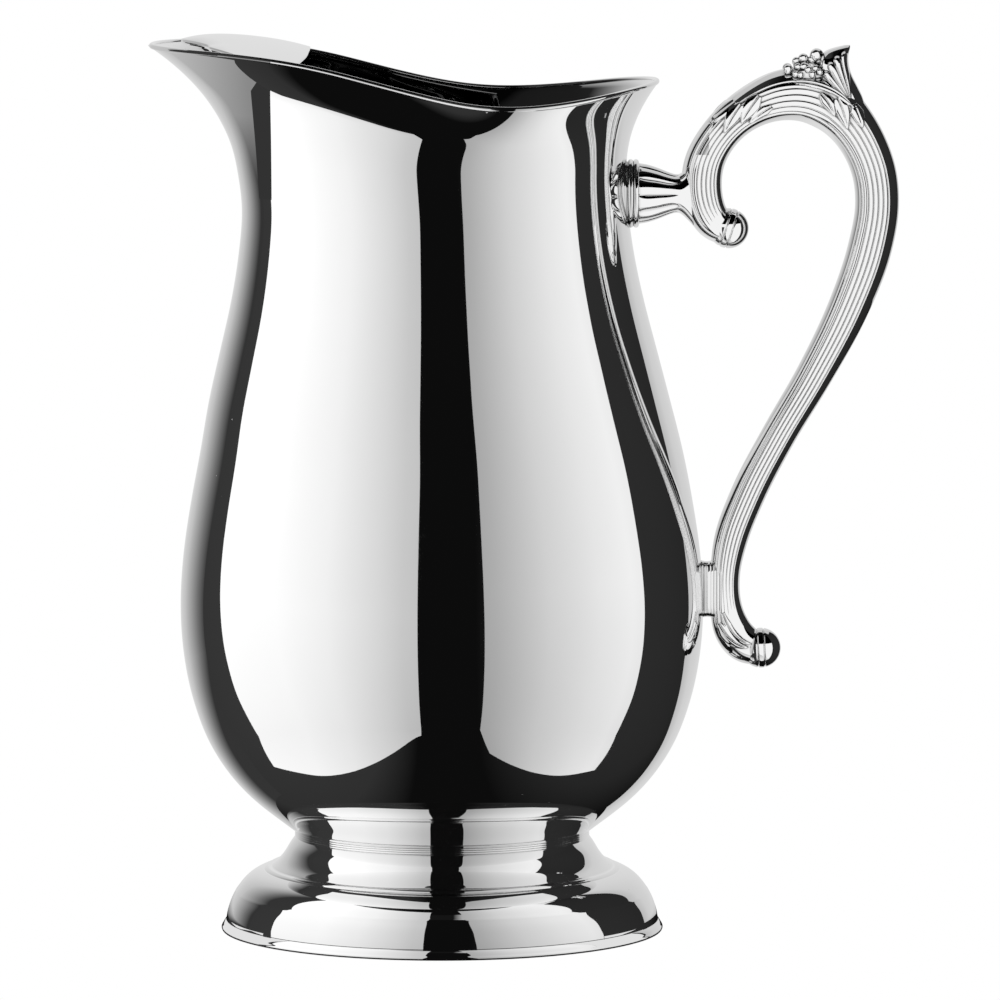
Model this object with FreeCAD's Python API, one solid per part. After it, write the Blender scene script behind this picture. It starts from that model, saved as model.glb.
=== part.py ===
import FreeCAD, Part
import math
import os

# Water pitcher in polished silver plate: a spun body with a drawn spout, an ice guard across
# the spout, a turned pedestal foot and a cast double-scroll handle with leaf ornament.
# Millimetres. The origin is the centre of the foot on the table, +Z is up, the handle is
# towards +X and the spout towards -X. The pitcher is the same on both sides of the XZ plane.

V = FreeCAD.Vector

# ---- driving dimensions -----------------------------------------------------------------

WALL = 1.0  # sheet the body and foot are spun from
SECTION_POINTS = 32  # points round one body section

# body: height, reach towards the spout, reach towards the handle, half depth across
BODY_BOTTOM = 27.0
BODY_STATIONS = [
    (27.0, 39.9, 39.9, 39.9),
    (29.0, 42.5, 42.5, 42.5),
    (34.4, 49.6, 49.6, 49.6),
    (40.0, 55.1, 55.1, 55.1),
    (47.7, 60.5, 60.5, 60.5),
    (61.0, 65.9, 65.9, 65.9),
    (74.4, 68.6, 68.6, 68.6),
    (87.7, 69.3, 69.3, 69.3),
    (101.0, 68.3, 68.3, 68.3),
    (114.3, 66.3, 66.3, 66.3),
    (127.6, 63.9, 63.7, 63.8),
    (141.0, 61.6, 60.4, 61.0),
    (154.3, 58.8, 56.8, 57.7),
    (167.6, 55.9, 53.3, 54.3),
    (181.0, 53.8, 50.6, 51.6),
    (191.6, 53.0, 49.2, 50.2),
    (202.3, 54.0, 48.7, 49.4),
    (207.6, 55.1, 49.1, 49.3),
    (212.9, 57.2, 50.4, 49.6),
    (218.3, 60.2, 52.7, 50.3),
    (223.6, 64.1, 55.9, 51.0),
    (228.0, 68.4, 59.4, 51.3),
    (232.0, 73.1, 63.0, 51.4),
    (236.0, 78.9, 67.0, 51.4),
    (240.0, 85.5, 71.5, 51.4),
]
# plan of the mouth: it grows out of the round body between two heights
MOUTH_FROM = 186.0
MOUTH_TO = 227.0
SPOUT_SKEW = 17.3  # how far the widest place moves back from the middle
END_TAPER = 0.2  # fuller at the spout, rounder at the handle
THROAT_PINCH = 0.2  # the sides are pressed in behind the spout by this share
THROAT_AT = -0.32  # as a cosine of the angle from the handle
THROAT_WIDTH = 0.28

# rim: distance from the axis towards the handle, height
RIM_LINE = [
    (-95.0, 236.0),
    (-78.0, 235.7),
    (-58.0, 235.0),
    (-37.0, 232.6),
    (-11.0, 226.1),
    (0.0, 223.5),
    (10.0, 221.8),
    (20.0, 221.5),
    (35.0, 222.8),
    (51.0, 225.6),
    (80.0, 231.0),
]
RIM_WIRE_R = 0.85

# ice guard: a domed plate over the spout, cut to a brace at the front
GUARD_T = 1.1
GUARD_CROWN = 3.4
GUARD_LIFT = 0.5  # over the middle of the rim wire
GUARD_DROOP = 0.6  # share of the crown lost at the very front, half of it at the rear
GUARD_FRONT = [(0.0, -68.6), (0.25, -66.8), (0.5, -61.6), (0.7, -60.2), (0.85, -56.0), (1.0, -53.0)]
GUARD_REAR = [(0.0, -34.6), (0.6, -35.2), (1.0, -37.0)]

# foot
WAIST_R = 38.9
COLLAR_TOP = BODY_BOTTOM
COLLAR_BOTTOM = 24.8
FOOT_FLANGE_R = 30.0
FOOT_COVE = [(WAIST_R, COLLAR_BOTTOM), (40.3, 22.9), (41.7, 20.5), (43.5, 18.2), (45.4, 16.7)]
FOOT_DOME = [(48.6, 16.0), (50.2, 14.9), (52.3, 12.8), (54.0, 10.7)]
FOOT_SKIRT = [(54.0, 10.7), (55.6, 8.2), (56.8, 5.6), (57.5, 2.6)]
EDGE_R = 58.7
EDGE_TOP = 3.3
EDGE_SEAT = 2.6
EDGE_INNER_R = 54.9

# handle: distance from the axis, height, width in the plane of the scroll, depth across it
SCROLL_STATIONS = [
    (74.4, 186.2, 5.6, 6.0),
    (71.3, 187.3, 7.4, 7.4),
    (69.0, 191.2, 9.2, 8.8),
    (68.3, 197.0, 10.4, 9.6),
    (69.0, 203.8, 10.6, 9.8),
    (72.2, 210.6, 10.4, 9.8),
    (76.7, 215.9, 10.6, 9.8),
    (82.9, 220.2, 10.9, 10.0),
    (89.6, 222.7, 11.4, 10.2),
    (96.5, 223.1, 11.8, 10.6),
    (103.0, 220.9, 11.4, 10.6),
    (108.6, 215.8, 10.6, 10.4),
    (112.7, 209.0, 10.6, 10.2),
    (115.1, 201.0, 11.0, 10.2),
    (115.4, 192.5, 11.4, 10.2),
    (113.3, 181.5, 11.7, 10.2),
    (107.5, 165.6, 11.2, 9.8),
    (98.4, 147.8, 9.9, 9.2),
    (89.0, 131.5, 9.3, 8.8),
    (81.0, 115.6, 9.3, 8.6),
    (76.4, 103.4, 9.1, 8.4),
    (75.1, 94.0, 7.6, 8.0),
    (75.4, 86.4, 7.6, 7.8),
    (77.0, 80.2, 8.2, 7.6),
    (79.9, 76.0, 7.4, 7.0),
    (83.0, 74.3, 5.6, 6.0),
]
SCROLL_SECTIONS = 40
SCROLL_POINTS = 16
BALL_R = 4.1
UPPER_BALL = (76.6, 187.1)
LOWER_BALL = (85.3, 74.9)

# socket: the fluted ferrule between body and scroll, on an axis along X
SOCKET_Z = 195.7
SOCKET_STATIONS = [(44.0, 8.3), (50.6, 8.2), (53.5, 7.9), (57.0, 6.9), (60.5, 5.4), (63.0, 4.9), (65.5, 4.5)]
FLUTES = 10
FLUTE_DEPTH = 0.07
BEAD_R = 0.75
BEAD_PLACES = (49.7, 51.2)
BEAD_PITCH_R = 8.2

# pad that ties the lower scroll to the belly
PAD_Z = 90.5
PAD_HEIGHT = 15.2
PAD_WIDTH = 7.6
PAD_REACH = 73.0

# ornament on the scroll
LEAF_T = 0.7
THUMB_LEAF = [(101.0, 223.5, 7.0, 5.4), (104.2, 229.4, 4.6, 4.4), (106.2, 232.9, 2.2, 2.4), (107.1, 235.5, 0.4, 0.5)]
BERRY_R = 1.75
BERRY_CENTRE = (95.2, 230.0)
BERRY_RING_R = 3.1
BERRY_COUNT = 8
BERRY_DISC_T = 2.2
# leaves that wrap the scroll, as shares of its stations
SHOULDER_LEAF = (0.25, 0.30)
GRIP_LEAF = (0.41, 0.46)
LOWER_LEAF = (0.90, 0.96)


# ---- curves and helpers -----------------------------------------------------------------


def smooth(rows, at, column=1):
    """Value of a column at a place in the first column, through every row with no corners."""
    places = [row[0] for row in rows]
    values = [row[column] for row in rows]
    last = len(rows) - 1
    at = min(max(at, places[0]), places[last])
    i = max(k for k in range(last) if places[k] <= at)

    def slope(k):
        a, b = max(k - 1, 0), min(k + 1, last)
        return (values[b] - values[a]) / (places[b] - places[a])

    span = places[i + 1] - places[i]
    t = (at - places[i]) / span
    rise = values[i + 1] - values[i]
    start, end = slope(i) * span, slope(i + 1) * span
    return values[i] + t * start + t * t * (3 * rise - 2 * start - end) + t**3 * (start + end - 2 * rise)


def closed_wire(points):
    """A closed smooth curve through the points."""
    curve = Part.BSplineCurve()
    curve.interpolate(Points=points, PeriodicFlag=True)
    return Part.Wire(curve.toShape())


def spline_edge(points):
    curve = Part.BSplineCurve()
    curve.interpolate(points)
    return curve.toShape()


def profile(points):
    """Points of a turned profile, radius and height, in the XZ plane."""
    return [V(r, 0, z) for r, z in points]


def turn(face):
    return face.revolve(V(0, 0, 0), V(0, 0, 1), 360)


def in_scroll_plane(x, z):
    return V(x, 0, z)


# ---- body -------------------------------------------------------------------------------


def mouth_share(z):
    """0 where the body is round, 1 where it has the full plan of the mouth."""
    t = min(max((z - MOUTH_FROM) / (MOUTH_TO - MOUTH_FROM), 0.0), 1.0)
    return t * t * (3 - 2 * t)


def reach(z, column, inset):
    """Distance of the wall from the axis on one side, moved in by inset across the wall."""
    step = 0.5
    lean = (smooth(BODY_STATIONS, z + step, column) - smooth(BODY_STATIONS, z - step, column)) / (2 * step)
    return smooth(BODY_STATIONS, z, column) - inset * math.sqrt(1 + lean * lean)


def body_point(z, angle, inset=0.0):
    spout, handle, depth = (reach(z, column, inset) for column in (1, 2, 3))
    share = mouth_share(z)
    c, s = math.cos(angle), math.sin(angle)
    middle = (handle - spout) / 2
    half_length = (handle + spout) / 2
    x = middle + half_length * c + SPOUT_SKEW * share * s * s
    throat = THROAT_PINCH * math.exp(-(((c - THROAT_AT) / THROAT_WIDTH) ** 2))
    y = depth * s * (1 - share * (END_TAPER * c**3 + throat))
    return V(x, y, z)


def angles(count):
    return [2 * math.pi * k / count for k in range(count)]


def body_solid(inset, bottom, top):
    """The body's outside, or its inside when inset by the wall, as a solid core."""
    heights = [bottom] + [row[0] for row in BODY_STATIONS if bottom + 1.2 < row[0] < top - 1.2] + [top]
    wires = [closed_wire([body_point(z, a, inset) for a in angles(SECTION_POINTS)]) for z in heights]
    return Part.makeLoft(wires, True, False)


def above_rim():
    """Everything over the rim line, to trim the body with."""
    top = RIM_LINE[0][1] + 40
    line = spline_edge([V(x, -100, z) for x, z in RIM_LINE])
    left, right = RIM_LINE[0], RIM_LINE[-1]
    corners = [
        V(right[0], -100, right[1]),
        V(right[0], -100, top),
        V(left[0], -100, top),
        V(left[0], -100, left[1]),
    ]
    wire = Part.Wire([line] + Part.makePolygon(corners).Edges)
    return Part.Face(wire).extrude(V(0, 200, 0))


def make_body_shell(core):
    top = BODY_STATIONS[-1][0]
    inside = body_solid(WALL, BODY_BOTTOM + WALL, top)
    return core.cut(inside).cut(above_rim())


def rim_point(angle, inset):
    """The place on the rim at one angle, by closing in on the height where wall and rim meet."""
    z = 226.0
    for _ in range(12):
        z = smooth(RIM_LINE, body_point(z, angle, inset).x)
    return body_point(z, angle, inset)


def make_rim_wire(body_shell):
    """Slit wire that covers the cut edge of the body, made as one half and its mirror."""
    steps = 24
    hoops = []
    for k in range(steps + 1):
        angle = math.pi * k / steps
        middle = rim_point(angle, WALL / 2)
        along = rim_point(angle + 0.001, WALL / 2) - rim_point(angle - 0.001, WALL / 2)
        along.normalize()
        side = along.cross(V(0, 0, 1))
        side.normalize()
        hoops.append(closed_wire([middle + circle_step(side, side.cross(along), a) for a in angles(12)]))
    half = Part.makeLoft(hoops, True, False).cut(body_shell)
    return half.fuse(half.mirror(V(0, 0, 0), V(0, 1, 0)))


def circle_step(side, up, angle):
    return side * (RIM_WIRE_R * math.cos(angle)) + up * (RIM_WIRE_R * math.sin(angle))


def make_ice_guard(rim_wire, body_shell):
    """A domed strainer plate that keeps ice back, resting on both sides of the spout."""
    across = [v / 8 for v in range(-8, 9)]
    along = [u / 6 for u in range(7)]

    def point(u, v, drop):
        front = smooth(GUARD_FRONT, abs(v))
        x = front + (smooth(GUARD_REAR, abs(v)) - front) * u
        side = body_point(smooth(RIM_LINE, x), guard_angle(x), WALL / 2)
        crown = GUARD_CROWN * (1 - GUARD_DROOP * (1 - u) ** 6 - GUARD_DROOP / 2 * u**4)
        return V(x, side.y * v, side.z + GUARD_LIFT + crown * (1 - v * v) - drop)

    sheets = []
    for drop in (0.0, GUARD_T):
        surface = Part.BSplineSurface()
        surface.interpolate([[point(u, v, drop) for v in across] for u in along])
        sheets.append(surface.toShape())
    top, under = sheets
    sides = [Part.makeRuledSurface(a, b) for a, b in zip(top.Edges, under.Edges)]
    shell = Part.Shell([top, under] + sides)
    shell.sewShape()
    plate = Part.Solid(shell)
    return plate.cut(rim_wire).cut(body_shell)


def guard_angle(x):
    """The angle at which the rim passes a distance from the axis, on the spout side."""
    low, high = math.pi / 2, math.pi
    for _ in range(30):
        middle = (low + high) / 2
        if rim_point(middle, WALL / 2).x > x:
            low = middle
        else:
            high = middle
    return low


# ---- foot -------------------------------------------------------------------------------


def make_waist_collar():
    """Turned ring between body and foot, with two fine beads."""
    r = WAIST_R
    height = COLLAR_TOP - COLLAR_BOTTOM
    inner = FOOT_FLANGE_R + 1
    outline = [V(inner, 0, COLLAR_TOP), V(inner, 0, COLLAR_BOTTOM), V(r, 0, COLLAR_BOTTOM)]
    edges = Part.makePolygon(outline).Edges
    low = COLLAR_BOTTOM
    for _ in range(2):
        high = low + height / 2
        middle = V(r + 0.45, 0, (low + high) / 2)
        edges.append(Part.Arc(V(r, 0, low), middle, V(r, 0, high)).toShape())
        low = high
    edges.append(Part.makeLine(V(r, 0, COLLAR_TOP), outline[0]))
    return turn(Part.Face(Part.Wire(edges)))


def make_foot_shell():
    """Spun pedestal, hollow underneath, with a flange on top that carries the collar."""
    flange = Part.makeLine(V(FOOT_FLANGE_R, 0, COLLAR_BOTTOM), V(WAIST_R, 0, COLLAR_BOTTOM))
    cove = spline_edge(profile(FOOT_COVE))
    ledge = Part.makeLine(*profile([FOOT_COVE[-1], FOOT_DOME[0]]))
    dome = spline_edge(profile(FOOT_DOME))
    skirt = spline_edge(profile(FOOT_SKIRT))
    outside = FOOT_COVE + FOOT_DOME + FOOT_SKIRT[1:]
    inside = profile(inset_line(outside, WALL))
    edge = inside[-1]
    edge.z = EDGE_SEAT
    under = COLLAR_BOTTOM - WALL
    inside[0] = V(WAIST_R - 2 * WALL, 0, under)
    lower_lip = Part.makeLine(skirt.Vertexes[-1].Point, edge)
    back = Part.makePolygon([inside[0], V(FOOT_FLANGE_R, 0, under), V(FOOT_FLANGE_R, 0, COLLAR_BOTTOM)])
    wire = Part.Wire([flange, cove, ledge, dome, skirt, lower_lip, spline_edge(inside[::-1])] + back.Edges)
    return turn(Part.Face(wire))


def inset_line(points, distance):
    """The line through the points, moved towards the axis and down by a distance across it."""
    moved = []
    last = len(points) - 1
    for i, (r, z) in enumerate(points):
        before, after = points[max(i - 1, 0)], points[min(i + 1, last)]
        dr, dz = after[0] - before[0], after[1] - before[1]
        length = math.hypot(dr, dz)
        moved.append((r + distance * dz / length, z - distance * dr / length))
    return moved


def make_foot_edge_wire():
    """Heavy ring on the lower edge of the foot: its flat underside is what stands on the table."""
    bottom_r = EDGE_R - 1.2
    skirt_r = FOOT_SKIRT[-1][0]
    bulge = Part.Arc(V(bottom_r, 0, 0), V(EDGE_R, 0, EDGE_TOP / 2), V(skirt_r, 0, EDGE_TOP)).toShape()
    rest = [(skirt_r, EDGE_TOP), (skirt_r, EDGE_SEAT), (EDGE_INNER_R, EDGE_SEAT), (EDGE_INNER_R, 0), (bottom_r, 0)]
    return turn(Part.Face(Part.Wire([bulge] + Part.makePolygon(profile(rest)).Edges)))


# ---- handle -----------------------------------------------------------------------------


def scroll_line():
    curve = Part.BSplineCurve()
    curve.interpolate([in_scroll_plane(x, z) for x, z, _, _ in SCROLL_STATIONS])
    return curve


def scroll_place(line, share):
    """Middle, sideways direction, width and depth of the scroll at a share of its stations."""
    rank = share * (len(SCROLL_STATIONS) - 1)
    ranked = [(k, row[2], row[3]) for k, row in enumerate(SCROLL_STATIONS)]
    knots = line.getKnots()
    low = min(int(rank), len(knots) - 2)
    at = knots[low] + (knots[low + 1] - knots[low]) * (rank - low)
    along = V(*line.tangent(at)[0])
    sideways = V(along.z, 0, -along.x)
    return line.value(at), sideways, smooth(ranked, rank, 1), smooth(ranked, rank, 2)


def scroll_section(line, share, grow=0.0):
    middle, sideways, width, depth = scroll_place(line, share)
    points = []
    for a in angles(SCROLL_POINTS):
        across = sideways * ((width / 2 + grow) * math.cos(a))
        points.append(middle + across + V(0, (depth / 2 + grow) * math.sin(a), 0))
    return closed_wire(points)


def make_ball(place):
    """Round terminal, seated in a cup at the end of a scroll."""
    return Part.makeSphere(BALL_R, in_scroll_plane(*place))


def make_handle_scroll(line, seated):
    wires = [scroll_section(line, k / (SCROLL_SECTIONS - 1)) for k in range(SCROLL_SECTIONS)]
    return Part.makeLoft(wires, True, False).cut(Part.makeCompound(seated))


def make_leaf_wrap(line, scroll, start, end):
    """A cast leaf that wraps the scroll over part of its length."""
    count = 7
    wires = []
    for k in range(count):
        share = start + (end - start) * k / (count - 1)
        swell = math.sin(math.pi * (0.12 + 0.76 * k / (count - 1)))
        wires.append(scroll_section(line, share, LEAF_T * swell))
    return Part.makeLoft(wires, True, False).cut(scroll)


def along_x(x, radius, flute):
    """A closed fluted section of the socket."""
    points = []
    for a in angles(SECTION_POINTS):
        r = radius * (1 + flute * abs(math.cos(FLUTES * a / 2)) - flute)
        points.append(V(x, r * math.sin(a), SOCKET_Z + r * math.cos(a)))
    return closed_wire(points)


def make_handle_socket(core, scroll):
    """Fluted ferrule, saddle cut to the body at one end and to the scroll at the other."""
    wires = [along_x(x, r, FLUTE_DEPTH) for x, r in SOCKET_STATIONS]
    return largest(Part.makeLoft(wires, True, False).cut(core).cut(scroll))


def make_socket_bead_ring(core, socket):
    """Two fine beads round the socket where it meets the body."""
    beads = []
    for x in BEAD_PLACES:
        hoop = Part.makeTorus(BEAD_PITCH_R, BEAD_R, V(x, 0, SOCKET_Z), V(1, 0, 0))
        beads.append(hoop)
    band = Part.makeCylinder(BEAD_PITCH_R + BEAD_R / 2, BEAD_PLACES[1] - 47, V(47, 0, SOCKET_Z), V(1, 0, 0))
    return largest(beads[0].fuse(beads[1]).fuse(band).cut(core).cut(socket))


def make_lower_pad(core, scroll):
    """Saddle between the belly and the lower scroll."""
    wires = []
    for x, grow in ((66.0, 1.6), (70.0, 0.6), (PAD_REACH, 0.0)):
        points = []
        for a in angles(24):
            up = (PAD_HEIGHT / 2 + grow) * math.cos(a)
            points.append(V(x, (PAD_WIDTH / 2 + grow) * math.sin(a), PAD_Z + up))
        wires.append(closed_wire(points))
    return largest(Part.makeLoft(wires, True, False).cut(core).cut(scroll))


def make_thumb_leaf(scroll, berries):
    """Pointed leaf that curls up over the crest as a thumb rest."""
    wires = []
    for k, (x, z, width, depth) in enumerate(THUMB_LEAF):
        lean = V(-1, 0, 0.45 - 0.15 * k)
        lean.normalize()
        points = []
        for a in angles(24):
            points.append(V(x, depth * math.sin(a), z) + lean * (width * math.cos(a)))
        wires.append(closed_wire(points))
    return largest(Part.makeLoft(wires, True, False).cut(scroll).cut(berries))


def make_berry_cluster():
    """A ring of berries round a middle one, on a small disc let into the crest of the scroll."""
    x, z = BERRY_CENTRE
    disc_r = BERRY_RING_R + BERRY_R / 2
    cluster = Part.makeCylinder(disc_r, BERRY_DISC_T, V(x, 0, z - BERRY_DISC_T))
    for a in angles(BERRY_COUNT):
        place = V(x + BERRY_RING_R * math.cos(a), BERRY_RING_R * math.sin(a), z)
        cluster = cluster.fuse(Part.makeSphere(BERRY_R, place))
    return cluster.fuse(Part.makeSphere(BERRY_R * 1.2, V(x, 0, z + BERRY_R / 2)))


def largest(shape):
    """The one solid that is left once the slivers of a fitted joint are dropped."""
    return max(shape.Solids, key=lambda solid: solid.Volume)


def make_parts():
    core = body_solid(0.0, BODY_BOTTOM, BODY_STATIONS[-1][0])
    line = scroll_line()
    parts = {}
    parts["body_shell"] = make_body_shell(core)
    parts["rim_wire"] = make_rim_wire(parts["body_shell"])
    parts["ice_guard"] = largest(make_ice_guard(parts["rim_wire"], parts["body_shell"]))
    parts["waist_collar"] = make_waist_collar()
    parts["foot_shell"] = make_foot_shell()
    parts["foot_edge_wire"] = make_foot_edge_wire()
    parts["upper_scroll_ball"] = make_ball(UPPER_BALL)
    parts["lower_scroll_ball"] = make_ball(LOWER_BALL)
    parts["berry_cluster"] = make_berry_cluster()
    seated = [parts[name] for name in ("upper_scroll_ball", "lower_scroll_ball", "berry_cluster")]
    scroll = make_handle_scroll(line, seated)
    parts["handle_scroll"] = scroll
    parts["handle_socket"] = make_handle_socket(core, scroll)
    parts["socket_bead_ring"] = make_socket_bead_ring(core, parts["handle_socket"])
    parts["lower_pad"] = make_lower_pad(core, scroll)
    parts["thumb_leaf"] = make_thumb_leaf(scroll, parts["berry_cluster"])
    parts["shoulder_leaf"] = make_leaf_wrap(line, scroll, *SHOULDER_LEAF)
    parts["grip_leaf"] = largest(make_leaf_wrap(line, scroll, *GRIP_LEAF).cut(parts["thumb_leaf"]))
    parts["lower_leaf"] = make_leaf_wrap(line, scroll, *LOWER_LEAF)
    return parts


os.makedirs("parts", exist_ok=True)
for name, shape in make_parts().items():
    shape.exportStep(f"parts/{name}.step")
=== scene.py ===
import math

import bpy
import numpy as np
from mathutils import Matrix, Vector


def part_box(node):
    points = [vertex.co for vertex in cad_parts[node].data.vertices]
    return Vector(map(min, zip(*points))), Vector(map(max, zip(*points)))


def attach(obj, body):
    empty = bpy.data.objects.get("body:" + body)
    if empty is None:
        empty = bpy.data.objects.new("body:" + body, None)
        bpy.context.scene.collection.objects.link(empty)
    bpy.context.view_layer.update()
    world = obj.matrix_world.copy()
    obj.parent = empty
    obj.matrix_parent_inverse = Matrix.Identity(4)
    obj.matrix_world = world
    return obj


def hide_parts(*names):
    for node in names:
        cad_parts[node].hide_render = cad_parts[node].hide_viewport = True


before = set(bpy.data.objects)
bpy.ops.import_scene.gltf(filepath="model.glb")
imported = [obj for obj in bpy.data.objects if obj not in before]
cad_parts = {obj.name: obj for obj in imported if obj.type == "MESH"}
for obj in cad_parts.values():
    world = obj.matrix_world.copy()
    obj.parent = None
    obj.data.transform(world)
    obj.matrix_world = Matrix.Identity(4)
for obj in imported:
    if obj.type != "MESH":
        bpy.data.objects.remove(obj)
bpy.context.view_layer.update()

# Shapes below are worked out in millimetres and divided by this when a mesh is made.
MM = 1000.0


# ---- what the CAD frame gives ----


def node_box(node):
    """Lowest and highest corner of a CAD node in millimetres."""
    low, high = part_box(node)
    return low * MM, high * MM


BODY_LOW = node_box("body_shell")[0]
EDGE_HIGH = node_box("foot_edge_wire")[1]
FOOT_HIGH = node_box("foot_shell")[1]
WAIST_LOW, WAIST_HIGH = node_box("waist_collar")
PAD_LOW, PAD_HIGH = node_box("lower_pad")
BERRY_LOW, BERRY_HIGH = node_box("berry_cluster")


# ---- curves ----


class Line:
    """A smooth curve through rows of (place, value, value, ...), with its corners rounded away."""

    STEPS = 2400

    def __init__(self, rows, blur=0.0):
        table = np.array(rows, float)
        places = table[:, 0]
        self.at = np.linspace(places[0], places[-1], self.STEPS)
        step = self.at[1] - self.at[0]
        self.values = [self._round(places, table[:, k], blur / step) for k in range(1, table.shape[1])]

    def _round(self, places, values, spread):
        slopes = np.gradient(values, places)
        i = np.clip(np.searchsorted(places, self.at, side="right") - 1, 0, len(places) - 2)
        span = places[i + 1] - places[i]
        t = (self.at - places[i]) / span
        rise = values[i + 1] - values[i]
        a, b = slopes[i] * span, slopes[i + 1] * span
        curve = values[i] + t * a + t * t * (3 * rise - 2 * a - b) + t**3 * (a + b - 2 * rise)
        if spread < 1:
            return curve
        reach = int(3 * spread)
        kernel = np.exp(-0.5 * (np.arange(-reach, reach + 1) / spread) ** 2)
        before = curve[0] + (curve[1] - curve[0]) * np.arange(-reach, 0)
        after = curve[-1] + (curve[-1] - curve[-2]) * np.arange(1, reach + 1)
        return np.convolve(np.concatenate([before, curve, after]), kernel / kernel.sum(), "valid")

    def __call__(self, place, column=0):
        return float(np.interp(place, self.at, self.values[column]))


def soft_step(x, low, high):
    """0 below low, 1 above high and an even rise between them."""
    t = min(max((x - low) / (high - low), 0.0), 1.0)
    return t * t * (3 - 2 * t)


def bump(x, middle, width):
    """A smooth hump of height 1."""
    return math.exp(-(((x - middle) / width) ** 2))


# ---- meshes ----


def mesh_object(name, points, faces, node, slot, material):
    """A piece that rides on the body "root" and takes the place of a CAD node."""
    mesh = bpy.data.meshes.new(name)
    mesh.from_pydata([tuple(c / MM for c in p) for p in points], [], faces)
    mesh.validate()
    mesh.shade_smooth()
    piece = bpy.data.objects.new(name, mesh)
    bpy.context.scene.collection.objects.link(piece)
    piece.data.materials.append(material)
    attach(piece, "root")
    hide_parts(node)
    return piece


def tube_faces(rings, count, first=0, closed=False):
    """Quads between rings of points that each close on themselves."""
    faces = []
    for r in range(rings if closed else rings - 1):
        a, b = first + r * count, first + ((r + 1) % rings) * count
        faces += [(a + k, a + (k + 1) % count, b + (k + 1) % count, b + k) for k in range(count)]
    return faces


def capped_tube(rings):
    """Points and faces of a solid made of rings, with a fan to a middle point at each end."""
    count = len(rings[0])
    points = [p for ring in rings for p in ring]
    faces = tube_faces(len(rings), count)
    for ring, base, turn in ((rings[0], 0, 1), (rings[-1], (len(rings) - 1) * count, -1)):
        middle = len(points)
        points.append(tuple(sum(p[i] for p in ring) / count for i in range(3)))
        for k in range(count):
            a, b = base + k, base + (k + 1) % count
            faces.append((middle, b, a) if turn > 0 else (middle, a, b))
    return points, faces


def turned_out(points, faces):
    """The same surface with its faces looking the other way."""
    return points, [f[::-1] for f in faces]


def cast_piece(name, rings, node, material):
    """A solid cast piece made of a run of rings."""
    return mesh_object(name, *turned_out(*capped_tube(rings)), node, "cast_silver", material)


def full_turn(count):
    return np.linspace(0, 2 * math.pi, count, endpoint=False)


def turned(profile, count=256):
    """A ring turned from a closed profile of (radius, height)."""
    turns = full_turn(count)
    points = [(r * math.cos(a), r * math.sin(a), z) for r, z in profile for a in turns]
    return turned_out(points, tube_faces(len(profile), count, closed=True))


def lengths(corners):
    """Length along a path at each of its corners."""
    gaps = np.hypot(*np.diff(corners, axis=0).T)
    return np.concatenate([[0], np.cumsum(gaps)])


def path_points(corners, steps=14, blur=0.0):
    """Points along a smooth curve through a few corners."""
    run = lengths(corners)
    curve = Line(np.column_stack([run, corners]), blur)
    return [(curve(t), curve(t, 1)) for t in np.linspace(0, run[-1], steps * (len(corners) - 1) + 1)]


# ---- body ----

WALL = 1.0
AROUND = 320  # points round the body
UP_ROWS = 230  # rows from the bottom to the rim
# height and radius of the belly
BELLY_ROWS = [
    (27.0, 39.9),
    (29.0, 42.5),
    (34.4, 49.6),
    (40.0, 55.1),
    (47.7, 60.5),
    (61.0, 65.9),
    (74.4, 68.6),
    (87.7, 69.3),
    (101.0, 68.4),
    (114.3, 66.4),
]
# height, then how far the upper body reaches towards the spout, the handle and the camera
UPPER_ROWS = [
    (127.6, 63.9, 63.8, 63.8),
    (141.0, 61.6, 60.4, 61.0),
    (154.3, 58.6, 56.9, 57.7),
    (167.6, 55.6, 53.4, 54.5),
    (181.0, 53.5, 50.6, 52.0),
    (191.6, 52.7, 49.2, 50.8),
    (202.3, 54.0, 48.7, 50.2),
    (207.6, 55.1, 49.1, 50.4),
    (212.9, 57.2, 50.4, 50.7),
    (218.3, 60.2, 52.7, 52.0),
    (223.6, 64.1, 55.9, 53.3),
    (228.0, 68.4, 59.4, 51.8),
    (232.0, 73.1, 63.0, 49.6),
    (236.0, 78.9, 67.0, 47.4),
    (240.0, 85.5, 71.5, 45.3),
]
BODY = Line([(z, r, r, r) for z, r in BELLY_ROWS] + UPPER_ROWS, blur=2.4)
# the round neck turns into the long mouth between two heights
MOUTH_FROM = 204.0
MOUTH_TO = 232.0
MOUTH_SKEW = 12.6  # how far the widest place of the mouth lies towards the handle
END_TAPER = 0.257  # narrowing of the mouth at the handle, and widening at the spout
END_SWELL = 0.107  # widening at both ends
THROAT_PINCH = 0.194  # narrowing between spout and mouth at the rim
THROAT_AT = -0.284  # its place as the cosine of the angle from the handle
THROAT_WIDTH = 0.42
THROAT_DEPTH = 9.2  # how far below the rim it begins
THROAT_EASE = 0.65
# distance from the axis towards the handle, height of the rim
RIM_ROWS = [
    (-95.0, 235.2),
    (-78.0, 234.9),
    (-58.0, 234.1),
    (-37.0, 231.6),
    (-11.0, 225.2),
    (0.0, 222.6),
    (10.0, 221.0),
    (20.0, 220.7),
    (35.0, 222.0),
    (51.0, 224.6),
    (80.0, 228.6),
]
RIM = Line(RIM_ROWS, blur=5.0)


def reach(z, column, inset):
    """How far the body reaches at a height, less the thickness of its wall for the inside."""
    lean = BODY(z + 0.5, column) - BODY(z - 0.5, column)
    return BODY(z, column) - inset * math.sqrt(1 + lean * lean)


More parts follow.
